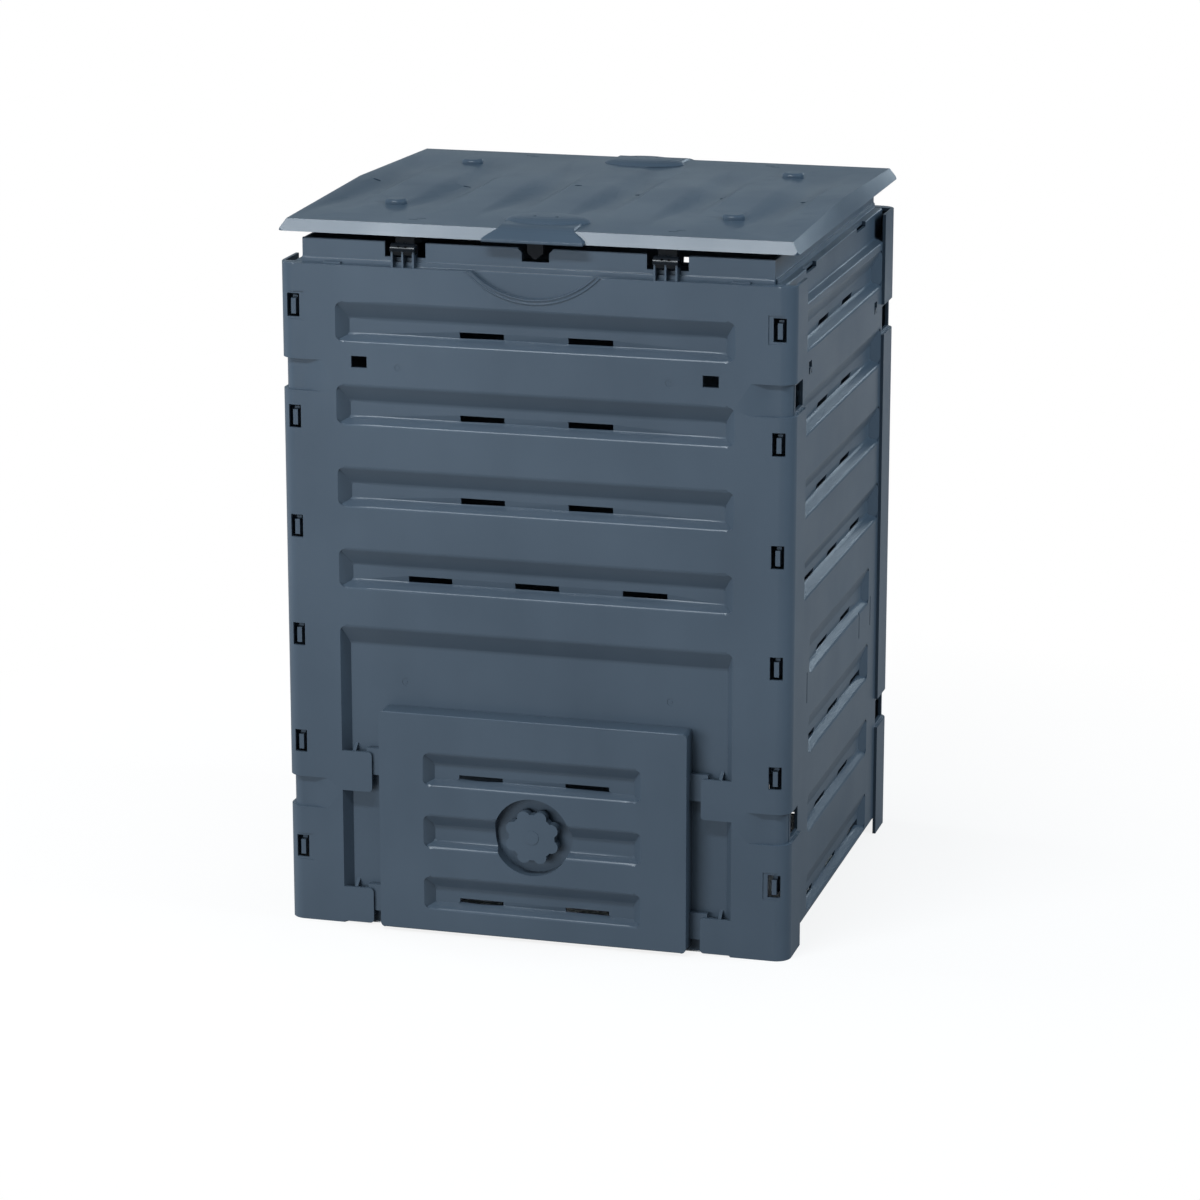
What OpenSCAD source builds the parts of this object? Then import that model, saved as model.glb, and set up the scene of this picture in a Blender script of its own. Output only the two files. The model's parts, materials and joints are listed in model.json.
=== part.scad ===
// Compost bin with a hinged lid, a sliding hatch at the front and a turning lock.
// X runs across the front, Y runs from the front wall to the rear wall, Z is up.
// The origin is at the middle of the bin, on the ground. Lengths are in millimetres.

/* [Bin] */
// Width across the front wall
bin_w = 650; // [610:1:690]
// Depth from the front wall to the rear wall
bin_d = 600; // [570:1:640]
// Height of the walls, up to the ledge below the collar
wall_h = 847; // [830:1:880]
// Thickness of the moulded plastic
skin = 4; // [3.6:0.1:4.4]
// Outer radius of the upright corners
corner_r = 19; // [16:1:22]
// Length of the flange that wraps round each corner
flange_len = 68; // [60:1:74]

/* [Channels] */
// Distance from one channel to the next
channel_pitch = 103.9; // [100:0.1:104]
// Distance from the ledge down to the lower edge of the top channel
channel_drop = 94.3; // [88:0.1:100]
// Height of a channel's mouth
channel_h = 49; // [44:1:54]
// Depth of a channel
channel_depth = 14; // [11:0.5:16]
// Distance from a corner to the nearest channel on the front and rear walls
channel_margin = 73; // [70:1:90]
// Distance from a corner to the nearest short channel, low on the side walls
short_margin = 120; // [105:1:130]
// Width of an air slot
slot_w = 56.5; // [50:0.5:62]
// Height of an air slot
slot_h = 9; // [7:0.5:11]

/* [Corners] */
// Height of the lowest corner slot's middle above the ground
hook_low = 97; // [90:1:104]
// Distance from one corner slot to the next
hook_pitch = 139.5; // [137:0.5:139.5]
// Width of a corner slot
hook_slot_w = 16; // [14:0.5:18]
// Height of a corner slot
hook_slot_h = 29; // [26:1:32]
// Depth of the waist steps in the corners
waist_depth = 5; // [4:0.5:6]

/* [Collar and lid] */
// Height of the collar that stands on the ledge
collar_h = 30; // [28:1:34]
// Height of the lid's skirt
skirt_h = 14; // [12:1:16]
// Rise of the lid from its edges to its crease
crease_rise = 8; // [6:0.5:10]
// Diameter of a lid stud
stud_d = 28; // [24:1:32]
// Radius of a hinge pin
pin_r = 4; // [3.5:0.1:4.5]

/* [Hatch] */
// Distance from the hatch to the end of its recess
door_side = 53.5; // [50:0.5:60]
// Height of the hatch
door_h = 284; // [275:1:292]
// Distance that the hatch stands out of the front wall
door_proud = 15; // [13:0.5:16]
// Diameter of the round cup in the hatch
cup_d = 100; // [94:1:104]
// Diameter of the star knob
knob_d = 71; // [66:1:74]
// Length of the locking pawl
pawl_len = 150; // [144:1:155]

/* [Hidden] */
$fn = 48;
// Clearance between pieces that move past each other
gap = 0.3;
// Extra length that carries a cut past a surface
lead = 1;
half_w = bin_w / 2;
half_d = bin_d / 2;
flange_end = half_d - flange_len;
channel_half = half_w - channel_margin;
channel_top = wall_h - channel_drop;
// Plain strip between a flange and the long channels of a side wall
side_strip = 1;
side_half = flange_end - side_strip;
short_half = half_d - short_margin;
door_half = channel_half - door_side;
door_w = door_half * 2;
door_low = 4.5;
door_top = door_low + door_h;
body_blue = [0.29, 0.34, 0.40];
dark_blue = [0.12, 0.14, 0.17];

// Basic shapes

module rounded_2d(w, h, r) {
    square([w - r * 2, h], center = true);
    square([w, h - r * 2], center = true);
    for (sx = [-1, 1], sy = [-1, 1])
        translate([sx * (w / 2 - r), sy * (h / 2 - r)])
            circle(r);
}

// A block between two corners
module block(low, high) {
    translate(low)
        cube(high - low);
}

// The same block on the left and on the right
module block_pair(low, high) {
    block(low, high);
    mirror([1, 0, 0])
        block(low, high);
}

// A cylinder along Y from y0 to y1, at x and z
module rod_y(x, z, r, y0, y1) {
    translate([x, y1, z])
        rotate([90, 0, 0])
            cylinder(r = r, h = y1 - y0);
}

// A cylinder along X from x0 to x1, at y and z
module rod_x(y, z, r, x0, x1) {
    translate([x0, y, z])
        rotate([0, 90, 0])
            cylinder(r = r, h = x1 - x0);
}

// A profile given as [y, z] points, carried along X
module along_x(points, x0, x1) {
    translate([x0, 0, 0])
        rotate([90, 0, 90])
            linear_extrude(x1 - x0)
                polygon(points);
}

// A pocket with sloping ends, ledge and top. Its mouth is at Y = 0 and it runs towards +Y.
module tray(half, low, high, depth, runs, r, front) {
    end_run = runs[0];
    low_run = runs[1];
    top_run = runs[2];
    intersection() {
        translate([0, 0, low])
            linear_extrude(high - low)
                polygon([[-half, -front], [half, -front], [half, 0], [half - end_run, depth],
                    [end_run - half, depth], [-half, 0]]);
        along_x([[-front, low], [0, low], [depth, low + low_run], [depth, high - top_run],
            [0, high], [-front, high]], -half, half);
        translate([0, depth, (low + high) / 2])
            rotate([90, 0, 0])
                linear_extrude(depth + front)
                    rounded_2d(half * 2, high - low, r);
    }
}

// Channels: each is [half width, lower edge, slots]

channel_runs = [14, 7, 22];
channel_r = 9;
slot_step = 137.6;
slot_edge = 0.15;
side_slot_step = short_half - channel_runs[0] - slot_w / 2 - slot_edge;

module channel_shell(half, low, depth) {
    tray(half + skin, low - skin, low + channel_h + skin, depth + skin, channel_runs,
        channel_r + skin, 0);
}

module channel_cut(half, low, depth, slots, step) {
    tray(half, low, low + channel_h, depth, channel_runs, channel_r, lead);
    for (k = [0 : slots - 1])
        translate([(k - (slots - 1) / 2) * step, depth, low + channel_runs[1]])
            translate([-slot_w / 2, -lead, 0])
                cube([slot_w, skin + lead * 2, slot_h]);
}

channel_base = 20;
channel_count = floor((channel_top - channel_base) / channel_pitch) + 1;
long_count = 4;
function channel_low(k) = channel_top - channel_pitch * k;
// Slots in a channel, counted from the top down: two or three by turns below the first three
function channel_slots(k) = k < long_count - 1 || k % 2 == 0 ? 2 : 3;

// Corners

hook_drop = 50;
hook_count = floor((wall_h - hook_drop - hook_low) / hook_pitch) + 1;
hook_in = 18.7;
hook_x = half_w - hook_in;
hook_frame = 6;
hook_frame_depth = 1.2;
waist_h = 40;
waist_low = 150;
waist_drop = 159;
waist_lows = [waist_low, wall_h - waist_drop];
waist_in = 53;
waist_ramp = 18;
waist_start = half_w - waist_in;
waist_end = waist_start + waist_ramp;
waist_hole = half_d - corner_r;
function hook_z(k) = hook_low + hook_pitch * k;

// The outline of the bin, taken in from the outside by an equal distance
module bin_outline(inset) {
    rounded_2d(bin_w - inset * 2, bin_d - inset * 2, corner_r - inset);
}

module end_skin() {
    difference() {
        linear_extrude(wall_h)
            bin_outline(0);
        translate([0, 0, -lead])
            linear_extrude(wall_h + lead * 2)
                bin_outline(skin);
        block([-bin_w, -flange_end, -lead], [bin_w, bin_d, wall_h + lead]);
    }
}

// The step cut into both corners at one waist
module waist_cut(z) {
    for (sx = [0, 1])
        mirror([sx, 0, 0])
            translate([0, 0, z])
                linear_extrude(waist_h)
                    difference() {
                        translate([waist_start, -bin_d])
                            square([bin_w, bin_d]);
                        bin_outline(waist_depth);
                        polygon([[waist_start, -half_d], [waist_end, waist_depth - half_d],
                            [waist_start, waist_depth - half_d]]);
                    }
}

// The wall behind that step, closed at its top and bottom
module waist_back(z) {
    difference() {
        translate([0, 0, z - skin])
            linear_extrude(waist_h + skin * 2)
                bin_outline(skin / 2);
        translate([0, 0, z - skin - lead])
            linear_extrude(waist_h + skin * 2 + lead * 2)
                bin_outline(waist_depth + skin);
        block([-bin_w, -waist_hole, 0], [bin_w, bin_d, wall_h]);
        block([skin - waist_start, -bin_d, 0], [waist_start - skin, 0, wall_h]);
    }
}

// The gap in the flange at one waist
module waist_gap(z) {
    block_pair([half_w - skin - lead, -waist_hole, z],
        [half_w + lead, -flange_end + lead, z + waist_h]);
}

// Corner slots with a shallow frame round the top and the bottom one
module hook_slots() {
    for (k = [0 : hook_count - 1])
        for (sx = [-1, 1])
            translate([sx * hook_x, -half_d, hook_z(k)]) {
                cube([hook_slot_w, skin * 4, hook_slot_h], center = true);
                if (k == 0 || k == hook_count - 1)
                    cube([hook_slot_w + hook_frame * 2, hook_frame_depth * 2,
                        hook_slot_h + hook_frame], center = true);
            }
}

// Ledge, collar and hinge ribs

collar_in = 13;
collar_side_in = 28;
collar_y = half_d - collar_in;
collar_half = half_w - collar_side_in;
collar_top = wall_h + collar_h;
foot_h = 6;
foot_t = 2.5;
hinge_in = 160;
hinge_x = half_w - hinge_in;
hinge_half = 26;
hinge_low = 11;
pin_in = 8;
pin_rise = 20;
pin_y = half_d - pin_in;
pin_z = wall_h + pin_rise;
latch_half = 17;
latch_low = 13;
latch_chamfer = 6;
rib_t = 2.4;
rib_step = 13.5;
rib_over = 3;
rib_r = pin_r + rib_over;
rib_back = collar_y - lead;
ledge_tab_w = 22;
ledge_tab_in = 68;
ledge_tab_x = half_w - ledge_tab_in;

// The collar plate with its hinge and latch notches
module end_collar() {
    difference() {
        union() {
            block([-collar_half, -collar_y, wall_h - skin], [collar_half, skin - collar_y, collar_top]);
            block([-collar_half, -collar_y - foot_t, wall_h - skin],
                [collar_half, skin - collar_y, wall_h + foot_h]);
        }
        for (sx = [-1, 1])
            block([sx * hinge_x - hinge_half, -collar_y - lead, wall_h + hinge_low],
                [sx * hinge_x + hinge_half, skin + lead - collar_y, collar_top + lead]);
        translate([0, skin + lead - collar_y, 0])
            rotate([90, 0, 0])
                linear_extrude(skin + lead * 2)
                    polygon([[-latch_half, wall_h + latch_low], [latch_half, wall_h + latch_low],
                        [latch_half, collar_top - latch_chamfer],
                        [latch_half + latch_chamfer, collar_top + gap],
                        [-latch_half - latch_chamfer, collar_top + gap],
                        [-latch_half, collar_top - latch_chamfer]]);
    }
}

// Three ribs stand on the ledge and carry a hinge pin
module hinge_ribs(x) {
    difference() {
        for (k = [-1 : 1])
            translate([x + k * rib_step - rib_t / 2, 0, 0]) {
                block([0, -pin_y - rib_r, wall_h - skin], [rib_t, -rib_back + skin, pin_z]);
                rod_x(-pin_y, pin_z, rib_r, 0, rib_t);
            }
        rod_x(-pin_y, pin_z, pin_r, x - hinge_half, x + hinge_half);
    }
}

module end_ledge() {
    difference() {
        translate([0, 0, wall_h - skin])
            linear_extrude(skin)
                bin_outline(0);
        block([-bin_w, skin - collar_y, 0], [bin_w, bin_d, wall_h + lead]);
    }
    for (sx = [-1, 1])
        block([sx * ledge_tab_x - ledge_tab_w / 2, -collar_y - foot_t * 3, wall_h - skin],
            [sx * ledge_tab_x + ledge_tab_w / 2, -collar_y, wall_h + foot_t]);
}

// A front or rear wall without what is special to it
module end_wall(count) {
    difference() {
        union() {
            end_skin();
            for (k = [0 : count - 1])
                translate([0, -half_d, 0])
                    channel_shell(channel_half, channel_low(k), channel_depth);
            for (z = waist_lows)
                waist_back(z);
            end_ledge();
        }
        for (k = [0 : count - 1])
            translate([0, -half_d, 0])
                channel_cut(channel_half, channel_low(k), channel_depth, channel_slots(k), slot_step);
        for (z = waist_lows) {
            waist_cut(z);
            waist_gap(z);
        }
        hook_slots();
    }
    end_collar();
    for (sx = [-1, 1])
        hinge_ribs(sx * hinge_x);
}

// Front wall

window_w = 20;
window_h = 14.5;
window_in = 30;
window_drop = 25;
window_x = channel_half - window_in;
window_z = channel_top - window_drop;
moon_r = 111;
moon_drop = 31;
moon_low = wall_h - moon_drop;
moon_depth = 7;
moon_bead = 1.5;
hatch_half = channel_half;
hatch_room = 102.5;
hatch_top = door_top + hatch_room;
hatch_clear = 40;
front_count = floor((channel_top - hatch_top - hatch_clear) / channel_pitch) + 1;
hatch_depth = 15;
hatch_runs = [9, 0, 25];
hatch_r = 8;
hole_in = 18.5;
hole_drop = 20.5;
hole_half = door_half - hole_in;
hole_top = door_top - hole_drop;
tab_low = 2;
tab_drop = 112.5;
tab_lows = [tab_low, door_top - tab_drop];
tab_heights = [46, 52];
tab_gap = 14.5;
tab_in = door_half + tab_gap;
tab_r = 5;
ear_low = 18;
ear_drop = 90.5;
ear_lows = [ear_low, door_top - ear_drop];
shelf_h = 6;
gusset_in = 22;
gusset_x = tab_in + gusset_in;
gusset_h = 8;
mark_r = 5;
mark_depth = 0.5;
mark_pip_r = 1.6;
mark_side = 51;
mark_x = window_x - mark_side;
mark_drop = 29.7;
mark_rise = 31;

// A rounded tab, level with the wall's face, at the right of the hatch
module hatch_tab(k) {
    low = tab_lows[k];
    high = low + tab_heights[k];
    translate([0, skin, 0])
        rotate([90, 0, 0])
            linear_extrude(skin) {
                translate([(tab_in + hatch_half) / 2, (low + high) / 2])
                    rounded_2d(hatch_half - tab_in, high - low, tab_r);
                translate([(tab_in + hatch_half) / 2, low])
                    square([(hatch_half - tab_in) / 2 + skin, high - low]);
            }
    shelf_z = ear_lows[k] - gap;
    block([tab_in, skin, shelf_z - shelf_h], [hatch_half, hatch_depth + skin / 2, shelf_z]);
    along_x([[skin, high - tab_r], [hatch_depth + skin / 2, high - tab_r],
        [hatch_depth + skin / 2, high + gusset_h], [hatch_depth, high + gusset_h], [skin, high]],
        gusset_x, gusset_x + skin);
}

// Round marks from the moulding: two between the top channels, two above the hatch
module mould_marks(r, out) {
    for (sx = [-1, 1]) {
        rod_y(sx * mark_x, channel_top - mark_drop, r, -half_d - out, mark_depth - half_d);
        rod_y(sx * mark_x, door_top + mark_rise, r, hatch_depth - half_d - out,
            hatch_depth + mark_depth - half_d);
    }
}

module front_wall() {
    color(body_blue)
    union() {
        difference() {
            union() {
                end_wall(front_count);
                translate([0, -half_d, 0])
                    intersection() {
                        tray(hatch_half + skin, -hatch_top, hatch_top + skin, hatch_depth + skin,
                            hatch_runs, hatch_r + skin, 0);
                        block([-bin_w, 0, 0], [bin_w, bin_d, wall_h]);
                    }
                intersection() {
                    rod_y(0, moon_low + moon_r, moon_r + skin, -half_d + lead, moon_depth + skin - half_d);
                    block([-bin_w, -bin_d, 0], [bin_w, bin_d, wall_h]);
                }
                intersection() {
                    rod_y(0, moon_low + moon_r, moon_r + moon_bead * 4, -half_d - moon_bead, lead - half_d);
                    block([-bin_w, -bin_d, 0], [bin_w, bin_d, wall_h]);
                }
            }
            translate([0, -half_d, 0])
                tray(hatch_half, -hatch_top, hatch_top, hatch_depth, hatch_runs, hatch_r, lead);
            block([-hole_half, -half_d, -lead], [hole_half, hatch_depth + skin + lead - half_d, hole_top]);
            intersection() {
                rod_y(0, moon_low + moon_r, moon_r, -half_d - moon_bead - lead, moon_depth - half_d);
                block([-bin_w, -bin_d, 0], [bin_w, bin_d, wall_h + moon_bead]);
            }
            difference() {
                rod_y(0, moon_low + moon_r, moon_r + moon_bead * 3, -half_d - moon_bead - lead, -half_d);
                rod_y(0, moon_low + moon_r, moon_r + moon_bead, -bin_d, 0);
            }
            for (sx = [-1, 1])
                translate([sx * window_x, -half_d, window_z])
                    cube([window_w, skin * 4, window_h], center = true);
            mould_marks(mark_r, lead);
        }
        mould_marks(mark_pip_r, 0);
        for (k = [0, 1], sx = [0, 1])
            mirror([sx, 0, 0])
                translate([0, -half_d, 0])
                    hatch_tab(k);
    }
}

module rear_wall() {
    color(body_blue)
        mirror([0, 1, 0])
            end_wall(channel_count);
}

// Side walls, drawn with the outer face at Y = 0 and turned into place

side_face = half_w - skin;
side_end = half_d - corner_r;
side_low = 22;
side_drop = 36;
side_high = wall_h - side_drop;
side_depth = 11.5;
short_depth = 8;
rim_in = 11;
rim_slope = 4;
side_collar_in = side_face - collar_half;
collar_gap = 4;
side_collar_end = collar_y - collar_gap;
rim_notch_in = 153;
rim_notch_y = half_d - rim_notch_in;
rim_notch_w = 55;
rim_notch_h = 6.5;
lug_in = 105;
lug_y = half_d - lug_in;
lug_drop = 30.7;
lug_low = channel_top - lug_drop;
lug_h = 16;
groove_w = 3;
groove_h = 40;
groove_in = 109;
groove_step = 70;
grooves = [half_d - groove_in, half_d - groove_in - groove_step, groove_in - half_d];
groove_low = 303;
hook_arm = 9;
hook_t = 6;
hook_h = 22;
hook_nose = 3;

// A hook that reaches through a corner slot of the end wall
module wall_hook(z) {
    tongue_in = side_face - hook_x - hook_t / 2;
    tongue_out = side_face - hook_x + hook_t / 2;
    arm_end = side_end + hook_arm;
    tip = half_d - hook_frame_depth - lead;
    block([side_end - hook_arm, 0, z - hook_h / 2], [side_end, tongue_out, z + hook_h / 2]);
    block([side_end - hook_arm, tongue_in, z - hook_h / 2], [arm_end, tongue_out, z + hook_h / 2]);
    block([arm_end - hook_t, tongue_in, z - hook_h / 2], [tip, tongue_out, z + hook_h / 2 - hook_nose]);
}

module side_grooves() {
    for (y = grooves)
        translate([y, 0, groove_low + groove_h / 2])
            cube([groove_w, skin, groove_h], center = true);
}

module side_wall() {
    difference() {
        union() {
            block([-side_end, 0, side_low], [side_end, skin, side_high]);
            along_x([[0, side_high], [0, side_high - skin], [rim_in + skin, side_high - skin + rim_slope],
                [rim_in + skin, side_high + rim_slope], [rim_in, side_high + rim_slope]],
                -side_end, side_end);
            block([-side_end, rim_in, side_high], [side_end, rim_in + skin, wall_h]);
            block([-side_end, rim_in, wall_h - skin], [side_end, side_collar_in + skin, wall_h]);
            block([-side_collar_end, side_collar_in, wall_h - skin],
                [side_collar_end, side_collar_in + skin, collar_top]);
            block([-side_collar_end, side_collar_in - foot_t, wall_h - skin],
                [side_collar_end, side_collar_in, wall_h + foot_h]);
            for (k = [0 : channel_count - 1])
                intersection() {
                    channel_shell(k < long_count ? side_half : short_half, channel_low(k),
                        k < long_count ? side_depth : short_depth);
                    block([-bin_d, 0, side_low], [bin_d, bin_w, wall_h]);
                }
        }
        for (k = [0 : channel_count - 1])
            channel_cut(k < long_count ? side_half : short_half, channel_low(k),
                k < long_count ? side_depth : short_depth, channel_slots(k), side_slot_step);
        for (sy = [-1, 1])
            block([sy * rim_notch_y - rim_notch_w / 2, -lead, wall_h - rim_notch_h],
                [sy * rim_notch_y + rim_notch_w / 2, rim_in + skin + lead, wall_h + lead]);
        for (sy = [-1, 1], z = waist_lows)
            block([sy * (flange_end + waist_hole) / 2 - waist_h / 2, -lead, z + skin],
                [sy * (flange_end + waist_hole) / 2 + waist_h / 2, skin + lead, z + waist_h - skin]);
        for (sy = [-1, 1])
            translate([sy * lug_y, 0, lug_low + lug_h / 2])
                cube([lug_h, skin * 4, lug_h], center = true);
        side_grooves();
    }
    for (k = [0 : hook_count - 1], sy = [0, 1])
        mirror([sy, 0, 0])
            wall_hook(hook_z(k));
    for (sy = [-1, 1])
        translate([sy * lug_y, 0, lug_low])
            along_x([[skin, -skin], [skin, lug_h / 2], [-lead, lug_h / 2], [0, 0]], -lug_h / 4, lug_h / 4);
}

module right_wall() {
    color(body_blue)
        translate([side_face, 0, 0])
            rotate([0, 0, 90])
                side_wall();
}

module left_wall() {
    color(body_blue)
        translate([-side_face, 0, 0])
            rotate([0, 0, -90])
                side_wall();
}

// Hinge pins, each held by three ribs

pin_over = 1;
pin_half = rib_step + rib_t / 2 + pin_over;

module hinge_pin(x, sy) {
    color(dark_blue)
        rod_x(sy * pin_y, pin_z, pin_r, x - pin_half, x + pin_half);
}

// Lid: a creased sheet with six flat troughs pressed into it

lid_over = 2;
lid_in = 6;
lid_rise = 8;
lid_half_w = half_w + lid_over;
lid_half_d = half_d - lid_in;
lid_edge = collar_top + lid_rise;
lid_top = lid_edge + skirt_h;
edge_in = 9;
lid_skin = 3.5;
lid_r = 8;
trough_count = 6;
trough_side = 75;
trough_spare = 12;
trough_pitch = (lid_half_w * 2 - trough_spare) / trough_count;
trough_first = trough_side - lid_half_w;
trough_w = 62;
trough_slope = 40;
trough_in = 58;
trough_in_mid = 89;
trough_end = lid_half_d - trough_in;
trough_end_mid = lid_half_d - trough_in_mid;
trough_foot = 15;
trough_lip = 2;
trough_drop = 1;
trough_floor = lid_top - trough_drop;
row_steps = 6;

// Height of the creased sheet at a distance from the crease
function sheet_z(y) = lid_top + crease_rise * (1 - abs(y) / lid_half_d);
// How far a trough reaches from the crease
function trough_reach(k) = (k == 0 || k == trough_count - 1) ? trough_end : trough_end_mid;
// Share of the trough's full depth at a distance from the crease
function trough_share(k, y) = max(0, 1 - abs(y) / trough_reach(k));
function smooth(t) = (1 - cos(180 * t)) / 2;
function trough_right(k) = trough_first + trough_pitch * k;
// Height inside a trough, where t runs from 0 on the sheet to 1 on the floor
function trough_z(k, y, t) =
    sheet_z(y) - (sheet_z(y) - trough_floor) * t * min(1, trough_share(k, y) * 3);
slope_shares = [0, 0.25, 0.5, 0.75, 1];

// Columns of one trough in one row: long slope, floor and short steep side, then the next pad
function trough_points(k, y) = concat(
    [for (s = slope_shares)
        [trough_right(k) - trough_w + s * max(trough_foot, trough_slope * sqrt(trough_share(k, y))),
            y, trough_z(k, y, smooth(s))]],
    [[trough_right(k) - trough_foot, y, trough_z(k, y, 1)],
        [trough_right(k) + trough_lip, y, sheet_z(y)]]);

lid_rows = [for (i = [-row_steps : row_steps]) i / row_steps * trough_end];
// One row of the sheet, from the left skirt to the right skirt
function sheet_row(y, inset, drop) = concat(
    [[inset - lid_half_w, y, lid_edge], [inset + edge_in - lid_half_w, y, sheet_z(y) - drop]],
    [for (k = [0 : trough_count - 1], p = trough_points(k, y)) [p[0], p[1], p[2] - drop]],
    [[lid_half_w - edge_in - inset, y, sheet_z(y) - drop], [lid_half_w - inset, y, lid_edge]]);
// The row that forms the front or the rear skirt's lower edge
function edge_row(y, inset, y_edge) =
    [for (p = sheet_row(y, inset, 0)) [p[0], y_edge, lid_edge]];
// All rows from front to rear
function sheet_rows(inset, drop) =
    let (ye = lid_half_d - inset, yt = lid_half_d - edge_in - inset)
    concat([edge_row(-yt, inset, -ye), sheet_row(-yt, inset, drop)],
        [for (y = lid_rows) sheet_row(y, inset, drop)],
        [sheet_row(yt, inset, drop), edge_row(yt, inset, ye)]);

// The space between the creased sheet lowered by one distance and the sheet lowered by another
module lid_sheet(top_drop, under_drop) {
    top = sheet_rows(top_drop, top_drop);
    under = sheet_rows(lid_skin, under_drop);
    rows = len(top);
    cols = len(top[0]);
    count = rows * cols;
    points = concat([for (row = top, p = row) p], [for (row = under, p = row) p]);
    top_faces = [for (i = [0 : rows - 2], j = [0 : cols - 2])
        let (a = i * cols + j, b = a + cols)
        each (i * 2 < rows - 1) == (j * 2 < cols - 1)
            ? [[a, b, b + 1], [a, b + 1, a + 1]] : [[a, b, a + 1], [a + 1, b, b + 1]]];
    under_faces = [for (f = top_faces) [f[0] + count, f[2] + count, f[1] + count]];
    rim = concat([for (j = [0 : cols - 2]) j], [for (i = [0 : rows - 2]) i * cols + cols - 1],
        [for (j = [cols - 1 : -1 : 1]) (rows - 1) * cols + j], [for (i = [rows - 1 : -1 : 1]) i * cols]);
    rim_faces = [for (i = [0 : len(rim) - 1])
        let (a = rim[i], b = rim[(i + 1) % len(rim)])
        each [[a, b, a + count], [b, b + count, a + count]]];
    polyhedron(points, concat(top_faces, under_faces, rim_faces));
}

stud_side_in = 111;
stud_in = 131;
stud_x = lid_half_w - stud_side_in;
stud_y = lid_half_d - stud_in;
stud_h = 6;
stud_round = 4;
stud_root = 2.8;
drain_r = 3.5;
drain_w = 10;
// Places of the drain holes along the crease, in shares of the distance between troughs
drain_shares = [-0.4, 0.73, 0.97, 2.11, 2.85, 3.88, 4.85];
slit_w = 12;
slit_h = 2;
slit_side_in = 163;
slit_in = 37;
slit_x = lid_half_w - slit_side_in;
slit_y = lid_half_d - slit_in;
slit_step = 8;
rest_in = 44;
rest_end = lid_half_d - rest_in;
rest_t = 4;
rest_gap = 0.3;

// A round stud on the sheet, with a rounded edge
module lid_stud(x, y) {
    edge = stud_d / 2 - stud_round;
    translate([x, y, sheet_z(y)])
        rotate_extrude()
            polygon(concat([[0, -stud_root], [stud_d / 2, -stud_root]],
                [for (a = [0 : 15 : 90])
                    [edge + stud_round * cos(a), stud_h - stud_round + stud_round * sin(a)]],
                [[0, stud_h]]));
}

// An oval hole on the crease
module drain_hole(x) {
    for (s = [-1, 1])
        translate([x + s * (drain_w / 2 - drain_r), 0, lid_top - skirt_h])
            cylinder(r = drain_r, h = skirt_h * 3);
    translate([x, 0, lid_top])
        cube([drain_w - drain_r * 2, drain_r * 2, skirt_h * 2], center = true);
}

// Ribs along the two side collars, rooted in the middle of the sheet
module rest_ribs() {
    rib_in = collar_half - skin / 2 - rest_t / 2;
    intersection() {
        lid_sheet(lid_skin / 2, skirt_h * 3);
        block_pair([rib_in, -rest_end, collar_top + rest_gap],
            [rib_in + rest_t, rest_end, lid_top + crease_rise]);
    }
}

module lid() {
    color(body_blue)
    difference() {
        union() {
            intersection() {
                lid_sheet(0, lid_skin);
                translate([0, 0, collar_top])
                    linear_extrude(bin_w)
                        rounded_2d(lid_half_w * 2, lid_half_d * 2, lid_r);
            }
            for (sx = [-1, 1], sy = [-1, 1])
                lid_stud(sx * stud_x, sy * stud_y);
            rest_ribs();
            latch_ears();
            mirror([0, 1, 0])
                latch_ears();
        }
        for (share = drain_shares)
            drain_hole(trough_first + trough_pitch * share);
        for (sx = [-1, 1], sy = [-1, 1], k = [0, 1])
            translate([sx * slit_x + k * slit_step, sy * (slit_y - k * slit_step), lid_top])
                cube([slit_w, slit_h, skirt_h], center = true);
    }
}

// Inner face of the skirt at a distance from the crease
skirt_in_y = lid_half_d - edge_in - lid_skin;
function skirt_in_z(y) =
    lid_edge + (lid_half_d - lid_skin - y) / edge_in * (sheet_z(skirt_in_y) - lid_skin - lid_edge);

// Handles: an oval dome on the sheet, a neck, and a flared lip that drapes over the skirt

dome_half = 54;
dome_len = 35;
dome_in = 70;
dome_y = half_d - dome_in;
dome_h = 9.5;
neck_half = 46;
neck_h = 3.5;
neck_in = 24;
lip_half = 64;
front_lip_out = 4;
rear_lip_out = door_proud;
handle_hole_r = 2.2;
handle_hole_x = 14;
handle_hole_in = 60;
handle_hole_y = half_d - handle_hole_in;
// Profile of the dome: [share of its radius, share of its height]
dome_shares = [[1, 0], [0.98, 0.3], [0.93, 0.52], [0.83, 0.72], [0.66, 0.87], [0.4, 0.97], [0, 1]];
// Outline of the lip from the front: [share of its widening, share of its drop]
flare_shares = [[0, 0], [0.08, 0.14], [0.25, 0.28], [0.7, 0.55], [0.9, 0.7], [1, 0.86], [0.96, 1]];
// Profile of the lip from the side: [share of its reach, share of its drop]
lip_shares = [[0, 0], [0.22, 0.03], [0.42, 0.12], [0.6, 0.29], [0.8, 0.55], [0.93, 0.72],
    [0.99, 0.83], [1, 0.95], [0.99, 1]];

// The oval dome
module handle_dome() {
    translate([0, -dome_y, lid_top])
        scale([dome_half / dome_len, 1, 1])
            rotate_extrude()
                polygon(concat([[0, -lid_skin], [dome_len, -lid_skin]],
                    [for (p = dome_shares) [dome_len * p[0], dome_h * p[1]]]));
}

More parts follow.
